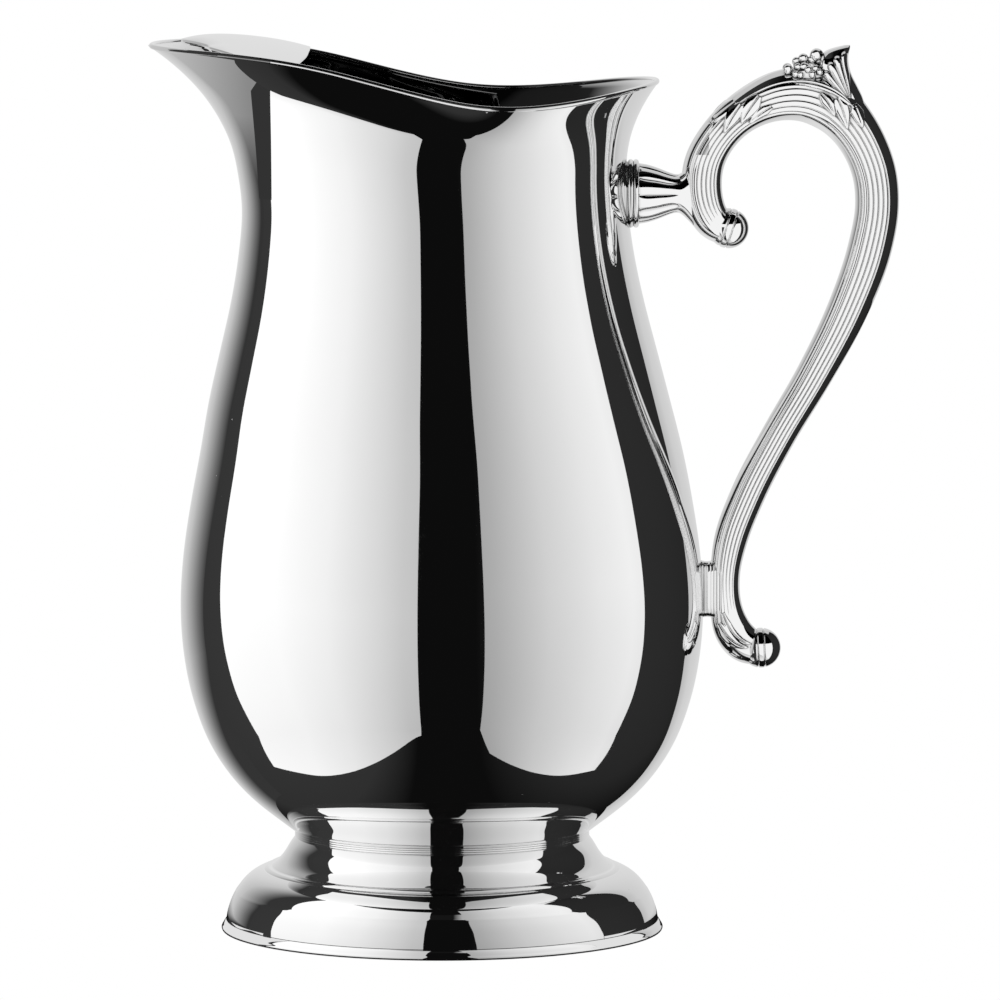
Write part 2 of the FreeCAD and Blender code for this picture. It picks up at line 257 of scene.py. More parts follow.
def body_point(z, angle, inset=0.0):
    """A point of the body at a height; angles are counted from the handle."""
    spout, handle, depth = (reach(z, column, inset) for column in (0, 1, 2))
    share = soft_step(z, MOUTH_FROM, MOUTH_TO)
    c, s = math.cos(angle), math.sin(angle)
    x = (handle - spout) / 2 + (handle + spout) / 2 * c + MOUTH_SKEW * share * s * s
    near_rim = soft_step(z - RIM(x), -THROAT_DEPTH, 0) ** THROAT_EASE
    throat = THROAT_PINCH * bump(c, THROAT_AT, THROAT_WIDTH) * near_rim
    y = depth * s * (1 - share * (END_TAPER * c**3 - END_SWELL * c * c) - throat)
    return x, y, z


def rim_height(angle, inset=0.0):
    """Height of the rim at an angle, found in steps, because the rim's place depends on its height."""
    z = RIM(0)
    for _ in range(14):
        z = RIM(body_point(z, angle, inset)[0])
    return z


def make_body(material, inside):
    """A shell whose inner surface has a material of its own."""
    turns = full_turn(AROUND)
    rings = []
    for inset, shares in ((0.0, np.linspace(0, 1, UP_ROWS)), (WALL, np.linspace(1, 0, UP_ROWS // 2))):
        low = BODY_LOW.z + inset
        tops = [rim_height(a, inset) for a in turns]
        for t in shares:
            rings.append([body_point(low + (top - low) * t, a, inset) for a, top in zip(turns, tops)])
    surface = turned_out(*capped_tube(rings))
    piece = mesh_object("pitcher_body", *surface, "body_shell", "spun_silver", material)
    piece.data.materials.append(inside)
    for face in piece.data.polygons[UP_ROWS * AROUND :]:
        face.material_index = 1
    return piece


RIM_R = 0.7
RIM_SIDES = 14


def make_rim(material):
    """A round wire along the middle of the wall's upper edge."""
    turns = full_turn(AROUND)
    path = [Vector(body_point(rim_height(a, WALL / 2), a, WALL / 2)) for a in turns]
    points = []
    for i, p in enumerate(path):
        along = (path[(i + 1) % AROUND] - path[i - 1]).normalized()
        side = along.cross(Vector((0, 0, 1))).normalized()
        up = side.cross(along)
        for b in full_turn(RIM_SIDES):
            points.append(p + side * (RIM_R * math.cos(b)) + up * (RIM_R * math.sin(b)))
    surface = turned_out(points, tube_faces(AROUND, RIM_SIDES, closed=True))
    return mesh_object("rim_wire_visible", *surface, "rim_wire", "spun_silver", material)


# ---- ice guard ----

GUARD_T = 1.0
GUARD_CROWN = 3.4  # height of the dome
GUARD_LIFT = 0.5  # height of its sides over the rim's middle line
# share of the half width, place of the brace-shaped front edge and of the rear edge
GUARD_ROWS = [(0.0, -68.8), (0.22, -67.6), (0.42, -63.6), (0.56, -61.2)]
GUARD_ROWS += [(0.7, -60.4), (0.84, -57.0), (1.0, -53.0)]
GUARD_FRONT = Line(GUARD_ROWS, blur=0.02)
GUARD_REAR = Line([(0.0, -34.6), (0.6, -35.2), (1.0, -37.0)])


def rim_side(x):
    """The rim's point at a place along X on the spout side."""
    low, high = math.pi / 2, math.pi
    for _ in range(26):
        middle = (low + high) / 2
        if body_point(rim_height(middle, WALL / 2), middle, WALL / 2)[0] > x:
            low = middle
        else:
            high = middle
    return body_point(rim_height(low, WALL / 2), low, WALL / 2)


def make_guard(material):
    """A domed plate from rim to rim, built from sections between its front and rear edges."""
    sides = Line([(x, *rim_side(x)[1:]) for x in np.linspace(-72, -30, 22)])
    rings = []
    for v in np.linspace(-1, 1, 81):
        front, rear = GUARD_FRONT(abs(v)), GUARD_REAR(abs(v))
        top, under = [], []
        for u in np.linspace(0, 1, 41):
            x = front + (rear - front) * u
            crown = GUARD_CROWN * (1 - 0.6 * (1 - u) ** 6 - 0.3 * u**4)
            z = sides(x, 1) + GUARD_LIFT + crown * (1 - v * v)
            top.append((x, sides(x) * v, z))
            under.append((x, sides(x) * v, z - GUARD_T))
        rings.append(rounded(top) + rounded(under[::-1]))
    return mesh_object("ice_guard_plate", *capped_tube(rings), "ice_guard", "spun_silver", material)


def rounded(run, step=0.12):
    """A run of points with its two ends drawn in a little, so that a plate's edge is not knife sharp."""
    first, second, before, last = (Vector(run[k]) for k in (0, 1, -2, -1))
    start = first + (second - first).normalized() * step
    end = last + (before - last).normalized() * step
    return [tuple(start)] + run[1:-1] + [tuple(end)]


# ---- foot ----

WAIST_R = 38.9
WAIST_INNER = 31.0
WAIST_LINES = 5
WAIST_GROOVE = 0.09
# the foot's outline from the waist down: (radius, height)
COVE = [(WAIST_R, 24.8), (39.5, 24.0), (40.3, 22.9), (41.7, 20.5), (43.4, 18.3), (45.0, 17.0)]
LEDGE = [(45.4, 16.6), (46.0, 16.75), (46.8, 16.4), (47.3, 15.95)]
SHELF = [(47.5, 16.0), (48.6, 15.6), (50.0, 14.95), (51.6, 13.9), (53.2, 12.3), (54.6, 10.4)]
SKIRT = [(54.9, 10.0), (55.9, 8.1), (56.8, 5.6), (57.3, 3.6), (57.4, 2.6)]
FLANGE = [(30.0, 23.8), (30.0, 24.8)]
EDGE_INNER = 54.9


def make_foot(material):
    """A thin shell whose inside follows its outline, with a flange under the waist."""
    outside = path_points(COVE, blur=0.8) + path_points(LEDGE, 6)
    outside += path_points(SHELF, blur=0.8) + path_points(SKIRT, blur=0.8)
    inside = [(r - WALL, z - WALL * 0.6) for r, z in outside[::-4]]
    inside[0] = (outside[-1][0] - WALL, outside[-1][1])
    surface = turned(outside + inside + FLANGE)
    return mesh_object("pedestal_foot", *surface, "foot_shell", "spun_silver", material)


def make_edge_wire(material):
    """A heavy ring, widest close to the table, with a step in which the skirt sits."""
    top = EDGE_HIGH.z
    bulge = [(0.12, 0.0), (0.0, 0.3), (0.4, 1.2), (0.95, 2.1), (1.6, 2.85), (2.1, top)]
    step = [(EDGE_HIGH.x - 1.2, top - 0.7), (EDGE_INNER, top - 0.7), (EDGE_INNER, 0.0)]
    outside = path_points([(EDGE_HIGH.x - back, z) for back, z in bulge], 6)
    surface = turned_out(*turned(outside + step))
    return mesh_object("foot_edge_ring", *surface, "foot_edge_wire", "spun_silver", material)


def make_collar(material):
    """The ring between body and foot, with fine turned lines."""
    profile = [(WAIST_INNER, WAIST_HIGH.z), (WAIST_INNER, WAIST_LOW.z)]
    height = WAIST_HIGH.z - WAIST_LOW.z + 0.5
    for t in np.linspace(0, 1, WAIST_LINES * 8 + 1):
        groove = WAIST_GROOVE * abs(math.sin(math.pi * WAIST_LINES * t)) ** 0.7
        profile.append((WAIST_R + 0.15 + groove, WAIST_LOW.z + height * t))
    surface = turned_out(*turned(profile))
    return mesh_object("waist_ring", *surface, "waist_collar", "spun_silver", material)


# ---- handle ----

# distance from the axis, height, width in the plane of the scroll, depth across it
SCROLL_ROWS = [
    (75.8, 186.5, 8.6, 7.4),
    (73.2, 187.1, 9.4, 8.2),
    (70.9, 189.2, 9.9, 8.8),
    (69.5, 192.4, 10.3, 9.2),
    (68.6, 197.4, 10.7, 9.6),
    (69.3, 203.9, 10.6, 9.8),
    (72.6, 210.3, 10.2, 9.8),
    (77.2, 215.4, 10.5, 9.8),
    (83.2, 219.4, 11.7, 10.0),
    (89.7, 221.7, 13.4, 10.2),
    (96.3, 221.8, 14.4, 10.6),
    (102.2, 219.5, 14.5, 10.6),
    (107.4, 214.7, 12.9, 10.4),
    (111.5, 208.5, 12.0, 10.2),
    (114.3, 200.9, 11.7, 10.2),
    (115.0, 192.5, 11.6, 10.2),
    (113.2, 181.5, 11.7, 10.2),
    (107.6, 165.6, 10.9, 9.8),
    (98.6, 147.7, 9.7, 9.2),
    (89.1, 131.4, 9.2, 8.8),
    (81.0, 115.6, 9.3, 8.6),
    (76.5, 103.4, 8.9, 8.4),
    (75.1, 94.0, 7.8, 8.0),
    (75.4, 86.6, 8.0, 7.8),
    (76.1, 82.2, 9.4, 7.8),
    (77.4, 79.0, 10.0, 7.8),
    (79.4, 76.5, 10.2, 7.6),
    (81.9, 75.1, 9.8, 7.4),
    (84.6, 74.9, 8.6, 7.0),
]
UPPER_BALL = Vector((75.8, 0, 186.5))
LOWER_BALL = Vector((84.6, 0, 74.9))
BALL_R = 5.3
BALL_DEPTH = 4.5
# grooves of the reeding as shares of the half width, counted towards the inner side
REEDS = (-0.5, -0.27, -0.04, 0.19, 0.42, 0.65)
REED_WIDTH = 0.035
REED_DEPTH = 0.32
REED_SWELL = 0.05


SCROLL_RUN = lengths([row[:2] for row in SCROLL_ROWS])
SCROLL = Line(np.column_stack([SCROLL_RUN, SCROLL_ROWS]), blur=1.6)
SCROLL_LENGTH = SCROLL_RUN[-1]


def scroll_frame(run):
    """Middle of the scroll, its direction and the direction towards its inner side."""
    middle, ahead, behind = (Vector((SCROLL(r), 0, SCROLL(r, 1))) for r in (run, run + 0.4, run - 0.4))
    along = (ahead - behind).normalized()
    return middle, along, Vector((along.z, 0, -along.x))


def run_near(x, z):
    """Length along the scroll of the place nearest to a point of its plane."""
    runs = np.linspace(0, SCROLL_LENGTH, 1200)
    return float(min(runs, key=lambda r: (SCROLL(r) - x) ** 2 + (SCROLL(r, 1) - z) ** 2))


CREST_FROM, CREST_TO = run_near(80.0, 218.0), run_near(107.0, 218.0)
CREST_TILT = 0.13  # the faces lean back a little along the crest
CREST_REEDS = 0.4  # share by which the reeding is shallower there
FACE_POWER = 3.6  # the higher, the flatter the face
FACE_SIDES = 0.8  # the lower, the steeper the sides
FIELD_FROM, FIELD_TO = -0.74, 0.86  # the part of the face with even spacing, as shares of the half width
FIELD_EDGE = 0.9


def on_crest(run, ease):
    """1 along the crest, falling to 0 at both its ends over a length."""
    return soft_step(run, CREST_FROM, CREST_FROM + ease) * (1 - soft_step(run, CREST_TO - ease, CREST_TO))


def half_depth(u):
    """Depth of the section at a share u of its half width: a broad face that falls away to steep sides."""
    return max(0.0, 1 - abs(u) ** FACE_POWER) ** FACE_SIDES


def face_shares():
    """Shares of the half width at which a section has points, closer at the grooves and at the edges."""
    shares = []
    bounds = (FIELD_FROM,) + REEDS + (FIELD_TO,)
    for low, high in zip(bounds, bounds[1:]):
        shares += list(np.linspace(low + REED_WIDTH, high - REED_WIDTH, 7))
        shares += [high - REED_WIDTH * 0.4, high, high + REED_WIDTH * 0.4]
    for t in np.linspace(0.0, 1.0, 16)[1:]:
        closer = 1 - (1 - t) ** 2
        shares.append(FIELD_EDGE + (1 - FIELD_EDGE) * closer)
        shares.append(FIELD_FROM - (1 + FIELD_FROM) * closer)
    return sorted(u for u in set(shares) if abs(u) <= 1)


FACE = face_shares()
SECTION = [(u, -1) for u in FACE] + [(u, 1) for u in FACE[-2:0:-1]]


def reed(u, depth):
    """How far the reeding lies under the plain face: thin sharp grooves between slightly rounded reeds."""
    under = 0.0
    for groove in REEDS:
        near = abs(u - groove) / REED_WIDTH
        if near < 1:
            under = depth * (1 - near)
    inside = REEDS[0] < u < REEDS[-1]
    swell = abs(math.sin(math.pi * (u - REEDS[0]) / (REEDS[1] - REEDS[0]))) if inside else 1.0
    return under + (1 - swell) * REED_SWELL * depth / REED_DEPTH


def scroll_ring(run, grow):
    """A closed ring round the scroll; grow(u) gives the distance its two faces stand off."""
    middle, _, inner = scroll_frame(run)
    width, depth = SCROLL(run, 2), SCROLL(run, 3)
    crest = on_crest(run, 14)
    ring = []
    for u, side in SECTION:
        deep = half_depth(u)
        off = grow(u)
        slope = FACE_POWER * abs(u) ** (FACE_POWER - 1) * FACE_SIDES
        lean = math.copysign(slope, u) * depth / width
        size = math.hypot(1, lean)
        tilt = 1 + CREST_TILT * u * crest
        share = min(1.0, deep * 4) / size
        p = middle + inner * (u * width / 2 + off * lean * share)
        ring.append((p.x, side * (deep * tilt * depth / 2 + off * share), p.z))
    return ring


def face_place(x, z):
    """Where a point of the scroll's plane lies on its face: length along it, share of the half width."""
    run = run_near(x, z)
    middle, _, inner = scroll_frame(run)
    return run, (Vector((x, 0, z)) - middle).dot(inner) / (SCROLL(run, 2) / 2)


REEDS_END = run_near(77.5, 84.0)


def make_scroll(material):
    """The reeded scroll; its reeds run out at the two curls."""
    rings = []
    for run in np.linspace(0, SCROLL_LENGTH, 460):
        start = soft_step(run, 3.0, 12.0)
        end = 1 - soft_step(run, REEDS_END - 22, REEDS_END + 4)
        crest = 1 - CREST_REEDS * on_crest(run, 12)
        depth = REED_DEPTH * start * end * crest
        rings.append(scroll_ring(run, lambda u: -reed(u, depth)))
    return cast_piece("scroll_reeded", rings, "handle_scroll", material)


PETAL_RISE = 1.35  # height of a petal for each mm of its thickness
PETAL_STEP = 0.16  # length between the sections through the leaves
LEAF_SINK = 0.6  # how far a leaf's hidden part lies under the skin of the scroll
MIDRIB_DEPTH = 0.5
MIDRIB_WIDTH = 0.17


def petal_height(across, along, length, half, thick):
    """Height of one petal at a place counted along it from its base and across it; pointed at its tip."""
    if not 0 < along < length:
        return -LEAF_SINK
    t = along / length
    width = half * math.sin(math.pi * min(0.5 + 0.5 * t**1.6, 1.0)) ** 0.8 * min(1.0, 0.45 + 2.2 * t)
    if abs(across) >= width or width < 1e-6:
        return -LEAF_SINK
    dome = math.sqrt(1 - (across / width) ** 2)
    midrib = MIDRIB_DEPTH * bump(across, 0.0, MIDRIB_WIDTH) * (1 - 0.6 * t)
    return PETAL_RISE * thick * (0.25 + 0.75 * dome) * (0.55 + 0.45 * t) - midrib


def make_petals(name, node, petals, material):
    """Petals laid over both faces of the scroll. Each is base point, tip point, half width and thickness."""
    placed = []
    for x0, z0, x1, z1, half, thick in petals:
        (run0, u0), (run1, u1) = face_place(x0, z0), face_place(x1, z1)
        placed.append((run0, u0, run1, u1, half, thick))
    low = min(min(p[0], p[2]) for p in placed) - 1.5
    high = max(max(p[0], p[2]) for p in placed) + 1.5

    def lift(run, u):
        half_width = SCROLL(run, 2) / 2
        best = -LEAF_SINK
        for run0, u0, run1, u1, half, thick in placed:
            a = Vector((run1 - run0, (u1 - u0) * half_width))
            d = Vector((run - run0, (u - u0) * half_width))
            length = a.length
            along = a.dot(d) / length
            across = (a.x * d.y - a.y * d.x) / length
            best = max(best, petal_height(across, along, length, half, thick))
        return best

    runs = np.linspace(low, high, int((high - low) / PETAL_STEP))
    return cast_piece(name, [scroll_ring(run, lambda u: lift(run, u)) for run in runs], node, material)


# petals: base (x, z), tip (x, z), half width, thickness
SHOULDER_PETALS = [
    (77.2, 220.2, 71.0, 214.2, 1.5, 0.7),
    (79.0, 219.6, 74.4, 212.0, 1.9, 0.95),
    (83.6, 221.8, 78.8, 214.6, 2.1, 0.95),
    (87.0, 219.0, 80.8, 214.6, 1.3, 0.6),
]
GRIP_PETALS = [
    (93.2, 225.3, 108.4, 218.6, 1.15, 0.75),
    (99.8, 222.4, 103.6, 216.4, 1.7, 0.95),
    (104.2, 221.2, 106.9, 213.0, 2.0, 0.95),
    (108.4, 219.6, 110.9, 213.2, 1.7, 0.8),
]
LOWER_PETALS = [
    (73.6, 81.8, 81.4, 75.4, 1.6, 0.8),
    (74.4, 84.8, 82.2, 76.4, 1.1, 0.55),
]
BALL_GROOVES = (-0.17, 0.17)  # places and width of the grooves as shares of the radius
BALL_GROOVE_WIDTH = 0.028
BALL_GROOVE_DEPTH = 0.32


def make_ball(name, node, place, arrive, material):
    """A ball end, a little flattened, with two fine grooves across the line on which the scroll arrives."""
    axis = arrive.normalized()
    side = axis.cross(Vector((0, 1, 0))).normalized()
    rings = []
    for a in np.linspace(0.02, math.pi - 0.02, 150):
        h = -math.cos(a)
        groove = sum(BALL_GROOVE_DEPTH * bump(h, share, BALL_GROOVE_WIDTH) for share in BALL_GROOVES)
        r = BALL_R * math.sin(a) * (1 - groove / BALL_R)
        ring = []
        for b in full_turn(120):
            step = axis * (BALL_R * h) + side * (r * math.cos(b))
            ring.append(tuple(place + step + Vector((0, BALL_DEPTH / BALL_R * r * math.sin(b), 0))))
        rings.append(ring)
    return mesh_object(name, *capped_tube(rings), node, "cast_silver", material)


# ---- socket, bead ring and pad ----

SOCKET_Z = 195.7
SOCKET_FROM, SOCKET_TO = 45.4, 66.4
FLUTES = 10
# distance from the axis, radius upright, radius across, depth of the flutes
SOCKET_ROWS = Line(
    [
        (45.0, 8.3, 8.3, 0.0),
        (50.8, 8.1, 8.1, 0.0),
        (52.0, 8.0, 8.0, 0.5),
        (53.5, 7.8, 7.8, 0.9),
        (57.0, 6.8, 6.8, 0.85),
        (60.0, 5.6, 5.7, 0.7),
        (61.6, 5.1, 5.1, 0.45),
        (62.8, 5.1, 4.8, 0.0),
        (64.2, 6.2, 4.6, 0.0),
        (65.4, 7.4, 4.3, 0.0),
        (66.4, 8.5, 3.9, 0.0),
    ],
    blur=0.5,
)


def around_x(x, upright, across, flute, count=240):
    """A ring round the socket's axis, with flutes of a depth cut into it."""
    ring = []
    for a in full_turn(count):
        groove = flute * (1 - abs(math.cos(FLUTES * a / 2)) ** 0.55)
        ring.append((x, (across - groove) * math.sin(a), SOCKET_Z + (upright - groove) * math.cos(a)))
    return ring


def make_socket(material):
    """The fluted ferrule between the body and the upper scroll."""
    places = np.linspace(SOCKET_FROM, SOCKET_TO, 90)
    rings = [around_x(x, *(SOCKET_ROWS(x, k) for k in range(3))) for x in places]
    return cast_piece("fluted_socket", rings, "handle_socket", material)


BEAD_PLACES = (49.9, 51.3)  # distance from the pitcher's axis
BEAD_R = 0.75
BEAD_RING_R = 8.3


def make_bead_ring(material):
    """Two half-round beads round the socket where it meets the body."""
    profile = [(45.5, 8.9), (48.4, 8.9)]
    for place in BEAD_PLACES:
        for a in np.linspace(-1.45, 1.45, 13):
            profile.append((place + BEAD_R * math.sin(a), BEAD_RING_R + BEAD_R * math.cos(a)))
    profile += [(52.2, 7.9), (52.3, 7.0)]
    rings = [around_x(x, r, r, 0.0, 128) for x, r in profile]
    return cast_piece("socket_beads", rings, "socket_bead_ring", material)


PAD_FROM, PAD_TO = 66.5, 74.0  # from inside the wall of the body to inside the scroll
PAD_TALL, PAD_WIDE, PAD_FLARE = 7.4, 3.2, 1.5
RIB_FROM, RIB_STEP, RIB_HEIGHT = 69.4, 0.8, 0.28


def make_pad(material):
    """The small ribbed saddle between the belly and the lower scroll."""
    z = (PAD_LOW.z + PAD_HIGH.z) / 2
    rings = []
    for x in np.linspace(PAD_FROM, PAD_TO, 70):
        t = (x - PAD_FROM) / (PAD_TO - PAD_FROM)
        flare = PAD_FLARE * (2 * t - 1) ** 2
        rib = RIB_HEIGHT * abs(math.sin(math.pi * (x - RIB_FROM) / RIB_STEP)) ** 0.6
        tall = PAD_TALL + flare
        wide = PAD_WIDE + 0.5 * flare + rib
        ring = []
        for a in full_turn(120):
            c, s = math.cos(a), math.sin(a)
            up = math.copysign(abs(c) ** 0.55, c)
            out = math.copysign(abs(s) ** 0.75, s)
            ring.append((x, wide * out, z + tall * up))
        rings.append(ring)
    return cast_piece("belly_pad", rings, "lower_pad", material)


# ---- ornament on the crest ----

# slices through the thumb leaf: height, edge towards the spout, outer edge, half depth across
THUMB_ROWS = Line(
    [
        (215.5, 104.0, 110.5, 2.0),
        (218.0, 102.5, 111.6, 3.2),
        (221.0, 99.5, 111.1, 4.4),
        (224.0, 98.6, 109.7, 4.7),
        (227.5, 99.0, 108.0, 4.6),
        (230.3, 99.5, 107.3, 4.2),
        (232.5, 100.4, 107.3, 3.4),
        (233.4, 101.3, 107.5, 2.7),
        (234.1, 103.0, 107.7, 2.0),
        (234.6, 105.0, 107.7, 1.1),
        (234.9, 106.4, 107.7, 0.2),
    ],
    blur=0.25,
)
THUMB_ROOT = (107.9, 220.0)
# ribs fan out from the root: angle at which each begins, and how far it reaches; the last only ends a rib
THUMB_RIBS = [(93.0, 13.6), (103.0, 13.0), (113.0, 12.2), (125.0, 11.0)]
THUMB_RIBS += [(138.0, 10.0), (152.0, 9.0), (166.0, 8.0)]


def thumb_rib(x, z):
    """How far the ribs stand proud at a place in the plane of the scroll."""
    dx, dz = x - THUMB_ROOT[0], z - THUMB_ROOT[1]
    turn = math.degrees(math.atan2(dz, dx))
    far = math.hypot(dx, dz)
    for (start, length), (end, _) in zip(THUMB_RIBS, THUMB_RIBS[1:]):
        if start <= turn < end:
            round_end = math.sqrt(max(0.0, 1 - (2 * (turn - start) / (end - start) - 1) ** 2))
            tip = length - 1.6 * (1 - round_end)
            return (0.15 + 0.6 * round_end) * (1 - soft_step(far, tip - 0.8, tip)) * soft_step(far, 0.5, 3.0)
    return 0.0


def make_thumb_leaf(material):
    """The pointed leaf on the crest, built from level slices, with ribs on both faces."""
    rings = []
    for z in np.linspace(*THUMB_ROWS.at[[0, -1]], 150):
        low, high, deep = (THUMB_ROWS(z, k) for k in range(3))
        middle, half = (low + high) / 2, (high - low) / 2
        ring = []
        for a in full_turn(260):
            c, t = math.cos(a), math.sin(a)
            x = middle + half * c
            y = deep * math.copysign(abs(t) ** 0.85, t)
            ring.append((x, y + math.copysign(thumb_rib(x, z) * min(1.0, 2 * abs(t)), t), z))
        rings.append(ring)
    return mesh_object("thumb_leaf_ribbed", *capped_tube(rings), "thumb_leaf", "cast_silver", material)


# berries: distance from the axis, height, radius; one on each side, or one in the middle at the very top
BERRY_BEADS = [
    (91.2, 228.7, 1.15),
    (93.5, 230.6, 1.05),
    (95.3, 231.3, 1.25),
    (93.8, 229.2, 0.95),
    (95.5, 229.2, 1.15),
    (97.7, 231.0, 1.15),
    (98.8, 232.2, 1.65),
    (99.5, 230.7, 0.95),
    (96.6, 228.5, 1.0),
    (97.6, 227.4, 0.9),
    (98.5, 228.8, 0.95),
    (93.2, 227.5, 0.8),
    (94.5, 227.3, 0.8),
    (99.6, 228.0, 0.8),
]


BERRY_SIZE = 1.12  # berries are this much larger than their radius above
CORE_MIDDLE = (96.6, 0.0, 227.0)
CORE_HALF = (5.0, 4.3, 3.4)
CREST_FOOT = 223.0  # height from which the crest narrows upwards
CREST_HALF = 5.2


def lumpy_ball(middle, half, rows, count, lobes, depth):
    """Points of a ball from pole to pole, with a few soft lobes round it, so that it is not plain."""
    points = []
    for i in range(rows):
        b = math.pi * i / (rows - 1)
        for a in full_turn(count):
            swell = 1 + depth * math.cos(lobes * a) * math.sin(b)
            step = (math.sin(b) * math.cos(a), math.sin(b) * math.sin(a), -math.cos(b))
            points.append(tuple(m + h * swell * d for m, h, d in zip(middle, half, step)))
    return points


def make_berries(material):
    """Berries over both sides of the crest, on a core that fills the gaps between them."""
    points = lumpy_ball(CORE_MIDDLE, CORE_HALF, 25, 48, 9, 0.03)
    faces = tube_faces(25, 48)
    crest = max(SCROLL(r, 1) + SCROLL(r, 2) / 2 for r in (run_near(x, 223) for x in (92.0, 95.0, 98.0)))
    for x, z, r in BERRY_BEADS:
        level = min(max((z - 0.5 - CREST_FOOT) / (crest - CREST_FOOT), 0.0), 0.999)
        side = CREST_HALF * (1 - level**2.4) ** 0.42
        for y in (-side, side) if side > 0.9 else (0.0,):
            faces += tube_faces(17, 24, len(points))
            points += lumpy_ball((x, y, z), (r * BERRY_SIZE,) * 3, 17, 24, 3, 0.05)
    return mesh_object("berry_beads", points, faces, "berry_cluster", "cast_silver", material)


# ---- materials ----


def add_node(tree, kind, **values):
    """A new node; each value is a setting of the node or, failing that, one of its inputs."""
    node = tree.nodes.new(kind)
    for key, value in values.items():
        if hasattr(node, key):
            setattr(node, key, value)
        else:
            node.inputs[key.replace("_", " ")].default_value = value
    return node


def levels(tree, source, stops):
    """The level for a socket's value by a ramp through (place, level) stops."""
    node = tree.nodes.new("ShaderNodeValToRGB")
    while len(node.color_ramp.elements) < len(stops):
        node.color_ramp.elements.new(0.5)
    for element, (place, level) in zip(node.color_ramp.elements, stops):
        element.position = place
        element.color = (level, level, level, 1)
    tree.links.new(source, node.inputs["Fac"])
    return node.outputs["Color"]


def parts_of(tree, vector):
    """A vector's three values as the outputs "X", "Y" and "Z"."""
    split = tree.nodes.new("ShaderNodeSeparateXYZ")
    tree.links.new(vector, split.inputs[0])
    return split.outputs


def calculate(tree, operation, a, b):
    """The result of a sum on two values, each a number or a socket."""
    node = add_node(tree, "ShaderNodeMath", operation=operation)
    for socket, value in zip(node.inputs, (a, b)):
        if isinstance(value, float):
            socket.default_value = value
        else:
            tree.links.new(value, socket)
    return node.outputs[0]


def product(tree, value, *others):
    for other in others:
        value = calculate(tree, "MULTIPLY", value, other)
    return value


def mix_levels(tree, share, a, b):
    """a where share is 0, b where it is 1."""
    node = add_node(tree, "ShaderNodeMix", data_type="FLOAT")
    for name, value in (("Factor", share), ("A", a), ("B", b)):
        if isinstance(value, float):
            node.inputs[name].default_value = value
        else:
            tree.links.new(value, node.inputs[name])
    return node.outputs[0]


def shaded(tree, colour, level):
    """A colour times a level."""
    shade = add_node(tree, "ShaderNodeMix", data_type="RGBA", blend_type="MULTIPLY")
    shade.inputs[0].default_value = 1.0
    tree.links.new(colour, shade.inputs[6])
    tree.links.new(level, shade.inputs[7])
    return shade.outputs[2]


def painted_middle_shade(tree, place, colour, deep):
    """A colour with painted shade: darker over the middle of the vessel, where the inside lies in shade,
    than at its spout and handle ends.
    """
    aside = calculate(tree, "ABSOLUTE", parts_of(tree, place.outputs["Object"])["X"], 0.0)
    return shaded(tree, colour, levels(tree, aside, [(0.036, deep), (0.056, 1.0)]))


def silver(name, base, smudge, bump_strength, specks, recess=0.0, deep=None):
    """Polished silver plate: slight smudges in the shine, faint polishing lines and a few dust specks.

    recess darkens narrow places, deep is painted shade that darkens the middle of the vessel.
    """
    material = bpy.data.materials.new(name)
    material.use_nodes = True
    tree = material.node_tree
    shader = tree.nodes["Principled BSDF"]
    shader.inputs["Metallic"].default_value = 1.0
    link = tree.links.new
    place = add_node(tree, "ShaderNodeTexCoord")
    cloud = add_node(tree, "ShaderNodeTexNoise", Scale=38.0, Detail=5.0, Roughness=0.6)
    link(place.outputs["Object"], cloud.inputs["Vector"])
    shine = levels(tree, cloud.outputs["Fac"], [(0.35, 0.012), (0.62, 0.022), (0.8, smudge)])
    dust = add_node(tree, "ShaderNodeTexVoronoi", Scale=150.0)
    link(place.outputs["Object"], dust.inputs["Vector"])
    thin = add_node(tree, "ShaderNodeTexNoise", Scale=22.0, Detail=2.0)
    link(place.outputs["Object"], thin.inputs["Vector"])
    keep = levels(tree, thin.outputs["Fac"], [(0.55, 0.0), (0.7, specks)])
    spot = levels(tree, dust.outputs["Distance"], [(0.0, 1.0), (0.028, 0.9), (0.05, 0.0)])
    rough = calculate(tree, "MAXIMUM", shine, product(tree, spot, keep))
    link(rough, shader.inputs["Roughness"])
    tone = add_node(tree, "ShaderNodeMix", data_type="RGBA")
    tone.inputs[6].default_value = (*base, 1)
    tone.inputs[7].default_value = (*(c * 0.97 for c in base), 1)
    link(cloud.outputs["Fac"], tone.inputs[0])
    colour = tone.outputs[2]
    # painted shade: the inside darker over the middle of the vessel
    if deep:
        colour = painted_middle_shade(tree, place, colour, deep)
    if recess:
        near = add_node(tree, "ShaderNodeAmbientOcclusion", Distance=0.0016)
        colour = shaded(tree, colour, levels(tree, near.outputs["AO"], [(0.3, 1 - recess), (0.85, 1.0)]))
    link(colour, shader.inputs["Base Color"])
    lines = add_node(tree, "ShaderNodeMapping")
    lines.inputs["Scale"].default_value = (30, 30, 1400)
    link(place.outputs["Object"], lines.inputs["Vector"])
    polish = add_node(tree, "ShaderNodeTexNoise", Scale=1.0, Detail=3.0)
    link(lines.outputs["Vector"], polish.inputs["Vector"])
    relief = add_node(tree, "ShaderNodeBump", Strength=bump_strength, Distance=0.00002)
    link(polish.outputs["Fac"], relief.inputs["Height"])
    link(relief.outputs["Normal"], shader.inputs["Normal"])
    return material


# ---- studio ----


def glow(name, build):
    """A light's material: build(tree, place) returns the socket that gives its strength."""
    material = bpy.data.materials.new(name)
    material.use_nodes = True
    tree = material.node_tree
    tree.nodes.clear()
    out = tree.nodes.new("ShaderNodeOutputMaterial")
    light = tree.nodes.new("ShaderNodeEmission")
    tree.links.new(light.outputs[0], out.inputs[0])
    place = tree.nodes.new("ShaderNodeTexCoord")
    tree.links.new(build(tree, place), light.inputs["Strength"])
    return material


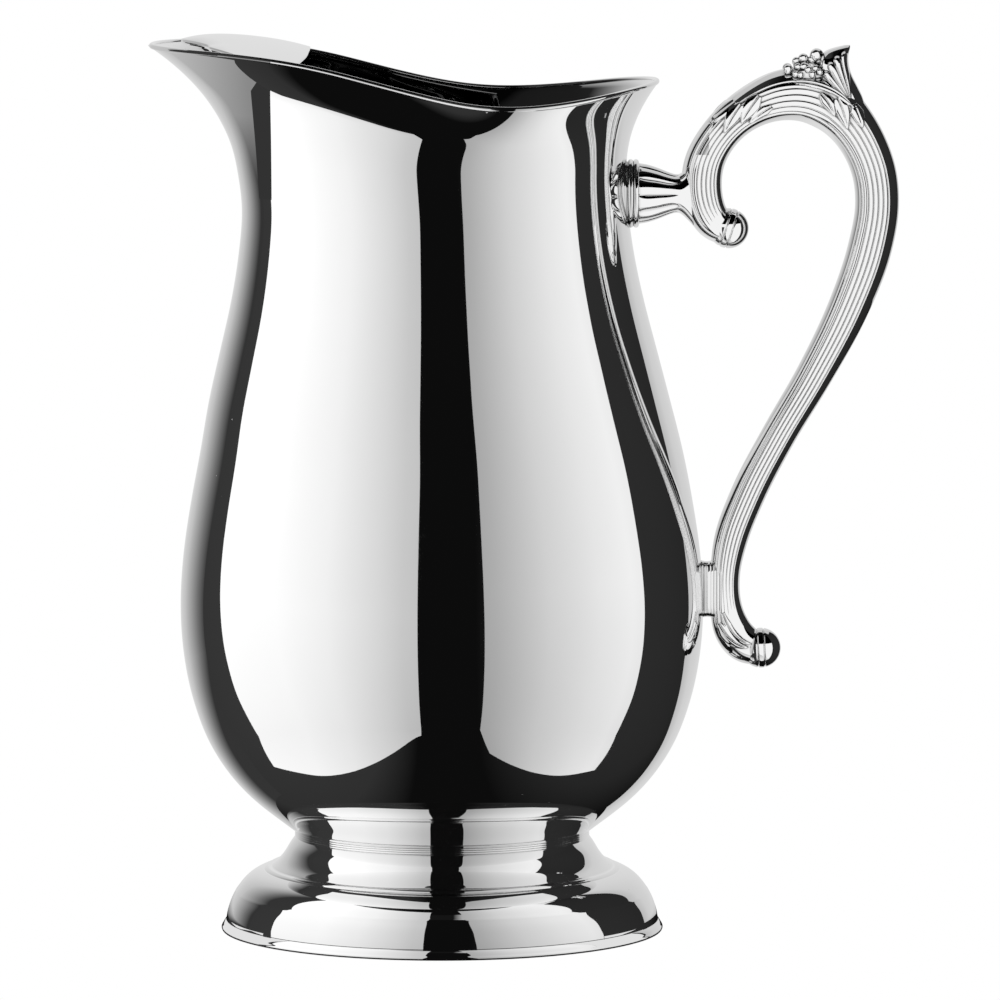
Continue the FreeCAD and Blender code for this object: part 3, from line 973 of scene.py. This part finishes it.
def card(name, points, faces, build, uvs=None):
    """A light card that the camera does not see."""
    mesh = bpy.data.meshes.new(name)
    mesh.from_pydata([tuple(c / MM for c in p) for p in points], [], faces)
    if uvs:
        layer = mesh.uv_layers.new()
        for loop in mesh.loops:
            layer.data[loop.index].uv = uvs[loop.vertex_index]
    piece = bpy.data.objects.new(name, mesh)
    bpy.context.scene.collection.objects.link(piece)
    piece.data.materials.append(glow(name, build))
    piece.visible_camera = False
    piece.visible_shadow = False
    return piece


# level of the dim room by direction: the spout's side is 0, the middle 0.5, the handle's side 1
ROOM_LEVELS = [(0.0, 0.04), (0.3, 0.03), (0.42, 0.004), (0.63, 0.004), (0.8, 0.02), (1.0, 0.026)]


def room_level(tree, direction):
    """The dim room in a direction."""
    spread = add_node(tree, "ShaderNodeMapRange", From_Min=-1.0)
    tree.links.new(parts_of(tree, direction)["X"], spread.inputs["Value"])
    return levels(tree, spread.outputs["Result"], ROOM_LEVELS)


def room_behind(tree):
    """The level of the room that a card or the floor hides."""
    spot = tree.nodes.new("ShaderNodeNewGeometry")
    ahead = add_node(tree, "ShaderNodeVectorMath", operation="SCALE", Scale=-1.0)
    tree.links.new(spot.outputs["Incoming"], ahead.inputs[0])
    return room_level(tree, ahead.outputs["Vector"])


def ray_start(tree):
    """The place (x, y, z) that a reflection comes from, and how steeply it rises."""
    length = tree.nodes.new("ShaderNodeLightPath").outputs["Ray Length"]
    spot = tree.nodes.new("ShaderNodeNewGeometry")
    at, back = (parts_of(tree, spot.outputs[key]) for key in ("Position", "Incoming"))
    start = [calculate(tree, "ADD", product(tree, back[axis], length), at[axis]) for axis in ("X", "Y", "Z")]
    return (*start, product(tree, back["Z"], -1.0))


def between(tree, value, low, high):
    """1 where a place lies between two limits given in millimetres, otherwise 0."""
    above = calculate(tree, "GREATER_THAN", value, low / MM)
    return product(tree, above, calculate(tree, "LESS_THAN", value, high / MM))


HANDLE_SIDE = 70.5  # everything farther out than this is handle
SOCKET_SIDE = 51.2  # and, near the socket's height, everything farther out than this
SOCKET_BELOW, SOCKET_ABOVE = 10.0, 10.5
HANDLE_RISE = 0.36  # sine of the steepest way up from which the panels light the handle
BERRY_RISE = 0.8  # the same for the berries
BERRY_FROM = 226.5  # height from which berries are lit so
HANDLE_LIGHT = 0.98


def starts_on_handle(tree, x, z):
    """1 for a reflection that starts on the handle or its socket, otherwise 0."""
    far_out = calculate(tree, "GREATER_THAN", x, HANDLE_SIDE / MM)
    outside = calculate(tree, "GREATER_THAN", x, SOCKET_SIDE / MM)
    near_socket = between(tree, z, SOCKET_Z - SOCKET_BELOW, SOCKET_Z + SOCKET_ABOVE)
    return calculate(tree, "MAXIMUM", far_out, product(tree, outside, near_socket))


def lit_handle(tree, level):
    """The level of a card, but the handle's own light for reflections that start on the handle."""
    x, _, z, rise = ray_start(tree)
    high = calculate(tree, "GREATER_THAN", z, BERRY_FROM / MM)
    on_berries = product(tree, high, between(tree, x, BERRY_LOW.x, BERRY_HIGH.x))
    low = calculate(tree, "LESS_THAN", rise, mix_levels(tree, on_berries, HANDLE_RISE, BERRY_RISE))
    return mix_levels(tree, starts_on_handle(tree, x, z), level, product(tree, low, HANDLE_LIGHT))


RING_LIGHT = 0.8


def lit_ring(tree, level):
    """The level of a card, but a light one for reflections that start on the ring of the foot."""
    low = calculate(tree, "LESS_THAN", ray_start(tree)[2], EDGE_HIGH.z / MM)
    return mix_levels(tree, low, level, RING_LIGHT)


# the front of the spout mirrors a dark strip and, farther out, a grey that fades in with height
SPOUT_FROM = 196.0
SPOUT_FADE = 22.0
SPOUT_DARK = -44.2  # the strip's edge towards the handle
SPOUT_GREY = -47.6  # the grey's edge at the foot of the spout
SPOUT_DRIFT = 0.06  # how far that edge moves outwards for each mm of height
SPOUT_BEND = 225.0  # above this it leans towards the handle instead
SPOUT_LEAN = 0.73
SPOUT_STRIP = 0.034  # level of the strip
SPOUT_LEVELS = [(-74.0, 0.56), (-50.0, 0.27)]  # level of the grey at two places


def lit_spout(tree, level, behind=False):
    """The level of a card, but the spout's own strip and grey for reflections that start there.

    A card behind the spout keeps its own level where that is lighter than the grey.
    """
    x, y, z, _ = ray_start(tree)
    climb = calculate(tree, "SUBTRACT", z, SPOUT_FROM / MM)
    bend = calculate(tree, "MAXIMUM", calculate(tree, "SUBTRACT", z, SPOUT_BEND / MM), 0.0)
    moved = calculate(tree, "SUBTRACT", x, product(tree, bend, SPOUT_LEAN))
    moved = calculate(tree, "ADD", moved, product(tree, climb, SPOUT_DRIFT))
    (far, far_level), (near, near_level) = SPOUT_LEVELS
    limits = {"From Min": far / MM, "From Max": near / MM, "To Min": far_level, "To Max": near_level}
    spread = add_node(tree, "ShaderNodeMapRange", **limits)
    tree.links.new(x, spread.inputs["Value"])
    fade = calculate(tree, "MINIMUM", calculate(tree, "DIVIDE", climb, SPOUT_FADE / MM), 1.0)
    grey = product(tree, spread.outputs["Result"], fade)
    if behind:
        grey = calculate(tree, "MAXIMUM", grey, level)
    grey = mix_levels(tree, calculate(tree, "LESS_THAN", moved, SPOUT_GREY / MM), SPOUT_STRIP, grey)
    high = calculate(tree, "GREATER_THAN", z, SPOUT_FROM / MM)
    front = calculate(tree, "LESS_THAN", y, 0.0)
    outside = calculate(tree, "LESS_THAN", x, SPOUT_DARK / MM)
    return mix_levels(tree, product(tree, high, front, outside), level, grey)


def left_light(tree, level):
    return lit_handle(tree, lit_spout(tree, level))


def behind_spout(tree, level):
    return lit_ring(tree, lit_spout(tree, level, behind=True))


CARD_GAIN = 1.12  # strength of a card whose level is 1
CARD_FOOT = 0.88  # level of a front panel at the floor, as a share of its level higher up
CARD_EVEN = 0.4  # share of its height from which a card is even
SHEET_NEAR = 1.04  # level of a sheet close to the foot, as a share of its far edge
SHEET_Z = 0.4


def card_level(tree, place, stops, foot, even):
    """Levels along a card, times a share that changes from its foot to where it is even."""
    spread = parts_of(tree, place.outputs["UV"])
    along = levels(tree, spread["X"], stops)
    return product(tree, along, levels(tree, spread["Y"], [(0.0, foot), (even, 1.0)]), CARD_GAIN)


def around_axis(radius, degrees, z):
    """A point round the pitcher; angles are counted from the camera's side towards the handle."""
    a = math.radians(degrees)
    return radius * math.sin(a), -radius * math.cos(a), z


def strip_card(name, steps, edges, build):
    """A card between two edges; edges(t) gives their two points at a share t of its length."""
    points, uvs = [], []
    for i in range(steps + 1):
        points += edges(i / steps)
        uvs += [(i / steps, 0.0), (i / steps, 1.0)]
    faces = [(2 * i, 2 * i + 2, 2 * i + 3, 2 * i + 1) for i in range(steps)]
    return card(name, points, faces, build, uvs)


def arc_card(name, foot, head, radius, top, stops, lit=None, bottom=0.0, low=1.0):
    """An upright curved card from its (start, end) angles at the bottom to those at its top.

    stops are the levels from start to end, or None for the level of the room behind. low is the
    level at the bottom as a share of the level higher up. lit changes the level for reflections that
    start on one part of the object.
    """

    def edges(t):
        spans = ((foot, bottom), (head, top))
        return [around_axis(radius, start + (end - start) * t, z) for (start, end), z in spans]

    def build(tree, place):
        level = card_level(tree, place, stops, low, CARD_EVEN) if stops else room_behind(tree)
        return lit(tree, level) if lit else level

    return strip_card(name, 60, edges, build)


# where the front sheets begin: degrees from the camera's side, distance from the axis
SHEET_ROWS = [(0, 135), (8, 133), (17, 115), (24, 102), (34, 90), (43, 85)]
SHEET_ROWS += [(54, 84), (65, 88), (76, 94), (90, 105)]
SHEET_FROM = Line(SHEET_ROWS, blur=2.0)


def floor_sheet(name, near, far, radius, stops, lit=None, begin=None, low=1.0):
    """A light sheet on the floor, from the shaded ring round the foot out to a card.

    near and far are the (start, end) angles where it begins and where it meets the card. begin is
    the radius where it begins, in place of SHEET_FROM. The rest is as for arc_card.
    """

    def edges(t):
        a, b = (start + (end - start) * t for start, end in (near, far))
        r = begin or SHEET_FROM(min(abs(a), 90.0))
        return [around_axis(r, a, SHEET_Z), around_axis(radius, b, SHEET_Z)]

    def build(tree, place):
        level = product(tree, card_level(tree, place, stops, SHEET_NEAR, 1.0), low)
        return lit(tree, level) if lit else level

    return strip_card(name, 48, edges, build)


TOP_HALF = 420.0
TOP_Z = 620.0
TOP_LANE = [(0.06, 0.008), (0.14, 0.75)]  # distance aside in metres, level
BEHIND = 60.0  # how far behind its start a reflection from the handle must meet the sheet to be lit
BEHIND_LIGHT = 0.6


def top_sheet(name):
    """A light sheet high above with a dark middle lane, for the foot and the back of the handle only."""
    h = TOP_HALF
    points = [(-h, -h, TOP_Z), (h, -h, TOP_Z), (h, h, TOP_Z), (-h, h, TOP_Z)]

    def build(tree, place):
        at = parts_of(tree, place.outputs["Object"])
        light = levels(tree, calculate(tree, "ABSOLUTE", at["X"], 0.0), TOP_LANE)
        x, y, z, _ = ray_start(tree)
        on_foot = calculate(tree, "LESS_THAN", z, FOOT_HIGH.z / MM)
        level = mix_levels(tree, on_foot, room_behind(tree), light)
        behind = calculate(tree, "GREATER_THAN", at["Y"], calculate(tree, "ADD", y, BEHIND / MM))
        return mix_levels(tree, product(tree, starts_on_handle(tree, x, z), behind), level, BEHIND_LIGHT)

    return card(name, points, [(0, 1, 2, 3)], build)


PANEL_R = 140.0
ABOVE_R = PANEL_R + 8
GAP_R = PANEL_R + 12
BACK_R = 420.0
BACK_BEGIN = 72.0
LEFT_TOP, RIGHT_TOP, BACK_TOP = 223.0, 252.0, 900.0
ABOVE_BOTTOM, ABOVE_TOP = 205.0, 380.0
GAP_LEFT_TOP, GAP_RIGHT_TOP = 300.0, 150.0
# angles where each card starts and ends; NEAR is the inner edge of the sheet in front of it
LEFT_NEAR, LEFT_FOOT, LEFT_HEAD = (-7.6, -80.0), (-7.6, -84.0), (-7.6, -98.0)
RIGHT_NEAR, RIGHT_FOOT, RIGHT_HEAD = (19.0, 71.0), (15.0, 78.3), (12.8, 78.3)
ABOVE = (-98.0, 78.3)
GAP_LEFT, GAP_RIGHT = (-92.0, -105.6), (80.0, 115.0)
BACK_LEFT_NEAR, BACK_LEFT = (-90.0, -180.0), (-108.0, -180.0)
BACK_RIGHT_NEAR, BACK_RIGHT = (116.0, 180.0), (131.0, 180.0)
LEFT_LEVELS = [(0.0, 0.52), (0.06, 0.55), (0.15, 0.64), (0.38, 0.84), (0.63, 0.96), (1.0, 1.0)]
RIGHT_LEVELS = [(0.0, 0.37), (0.06, 0.4), (0.35, 0.6), (0.66, 0.75), (0.9, 0.83), (1.0, 0.8)]
BACK_LEFT_LEVELS = [(0.0, 0.031), (0.17, 0.031), (0.275, 0.15), (0.39, 0.31)]
BACK_LEFT_LEVELS += [(0.54, 0.5), (0.835, 0.68), (1.0, 0.68)]
BACK_RIGHT_LEVELS = [(0.0, 0.46), (0.2, 0.57), (1.0, 0.68)]


def make_cards():
    """Light panels in front, dark gaps at the sides, light cards behind, and sheets on the floor."""
    front = {"low": CARD_FOOT}
    arc_card("panel_left", LEFT_FOOT, LEFT_HEAD, PANEL_R, LEFT_TOP, LEFT_LEVELS, left_light, **front)
    arc_card("panel_right", RIGHT_FOOT, RIGHT_HEAD, PANEL_R, RIGHT_TOP, RIGHT_LEVELS, lit_handle, **front)
    arc_card("panel_handle", ABOVE, ABOVE, ABOVE_R, ABOVE_TOP, None, lit_handle, bottom=ABOVE_BOTTOM)
    arc_card("panel_spout", GAP_LEFT, GAP_LEFT, GAP_R, GAP_LEFT_TOP, None, behind_spout)
    top_sheet("sheet_top")
    arc_card("panel_gap", GAP_RIGHT, GAP_RIGHT, GAP_R, GAP_RIGHT_TOP, None, lit_ring)
    arc_card("backdrop_left", BACK_LEFT, BACK_LEFT, BACK_R, BACK_TOP, BACK_LEFT_LEVELS, behind_spout)
    arc_card("backdrop_right", BACK_RIGHT, BACK_RIGHT, BACK_R, BACK_TOP, BACK_RIGHT_LEVELS)
    floor_sheet("sheet_left", LEFT_NEAR, LEFT_FOOT, PANEL_R, LEFT_LEVELS, left_light, **front)
    floor_sheet("sheet_right", RIGHT_NEAR, RIGHT_FOOT, PANEL_R, RIGHT_LEVELS, **front)
    back = {"begin": BACK_BEGIN}
    floor_sheet("sheet_back_left", BACK_LEFT_NEAR, BACK_LEFT, BACK_R, BACK_LEFT_LEVELS, behind_spout, **back)
    floor_sheet("sheet_back_right", BACK_RIGHT_NEAR, BACK_RIGHT, BACK_R, BACK_RIGHT_LEVELS, **back)


def seen_or_reflected(tree, seen, reflected):
    """A strength that is one value where the camera looks straight at it and another in reflections."""
    path = tree.nodes.new("ShaderNodeLightPath")
    return mix_levels(tree, path.outputs["Is Camera Ray"], reflected, seen)


FLOOR_HALF = 4.0  # metres


def make_floor():
    """A plain pale floor, dim in reflections where no light sheet covers it."""
    h = FLOOR_HALF
    mesh = bpy.data.meshes.new("floor")
    mesh.from_pydata([(-h, -h, 0), (h, -h, 0), (h, h, 0), (-h, h, 0)], [], [(0, 1, 2, 3)])
    floor = bpy.data.objects.new("floor", mesh)
    bpy.context.scene.collection.objects.link(floor)


    def build(tree, _):
        return seen_or_reflected(tree, 1.0, room_behind(tree))

    floor.data.materials.append(glow("floor_pale", build))


def make_world():
    """White behind the object, and the dim room in reflections."""
    world = bpy.data.worlds.new("studio")
    bpy.context.scene.world = world
    world.use_nodes = True
    tree = world.node_tree
    tree.nodes.clear()
    out = tree.nodes.new("ShaderNodeOutputWorld")
    light = tree.nodes.new("ShaderNodeBackground")
    light.inputs["Color"].default_value = (1, 1, 1, 1)
    tree.links.new(light.outputs[0], out.inputs[0])
    place = tree.nodes.new("ShaderNodeTexCoord")
    level = room_level(tree, place.outputs["Generated"])
    tree.links.new(seen_or_reflected(tree, 1.0, level), light.inputs["Strength"])


CAMERA = Vector((15.4, -2400.0, 365.0))
AIM = Vector((15.4, 0.0, 114.3))
LENS = 327.8


def make_camera():
    data = bpy.data.cameras.new("camera")
    data.lens = LENS
    data.clip_end = 20
    camera = bpy.data.objects.new("camera", data)
    bpy.context.scene.collection.objects.link(camera)
    camera.location = CAMERA / MM
    camera.rotation_euler = (AIM - CAMERA).to_track_quat("-Z", "Y").to_euler()
    bpy.context.scene.camera = camera


# ---- put together ----

spun = silver("spun_silver_plate", (0.95, 0.95, 0.95), 0.05, 0.04, 0.5)
cast = silver("cast_silver_plate", (0.93, 0.93, 0.93), 0.06, 0.05, 0.2, recess=0.7)
# the inside: a darker copy of the spun silver, whose darker base and darker middle are painted shade
painted_shade_lining = silver("spun_silver_inside_painted_shade", (0.9, 0.9, 0.9), 0.1, 0.05, 0.5, deep=0.35)

make_body(spun, painted_shade_lining)
make_rim(spun)
make_guard(spun)
make_collar(spun)
make_foot(spun)
make_edge_wire(spun)
make_scroll(cast)
make_ball("upper_ball_end", "upper_scroll_ball", UPPER_BALL, Vector((1.0, 0, -0.35)), cast)
make_ball("lower_ball_end", "lower_scroll_ball", LOWER_BALL, Vector((1.0, 0, 0.05)), cast)
make_petals("shoulder_leaf_lobes", "shoulder_leaf", SHOULDER_PETALS, cast)
make_petals("grip_leaf_lobes", "grip_leaf", GRIP_PETALS, cast)
make_petals("lower_leaf_lobes", "lower_leaf", LOWER_PETALS, cast)
make_socket(cast)
make_bead_ring(cast)
make_pad(cast)
make_thumb_leaf(cast)
make_berries(cast)

make_floor()
make_world()
make_cards()
make_camera()

scene = bpy.context.scene
scene.view_settings.view_transform = "Standard"
scene.view_settings.look = "None"
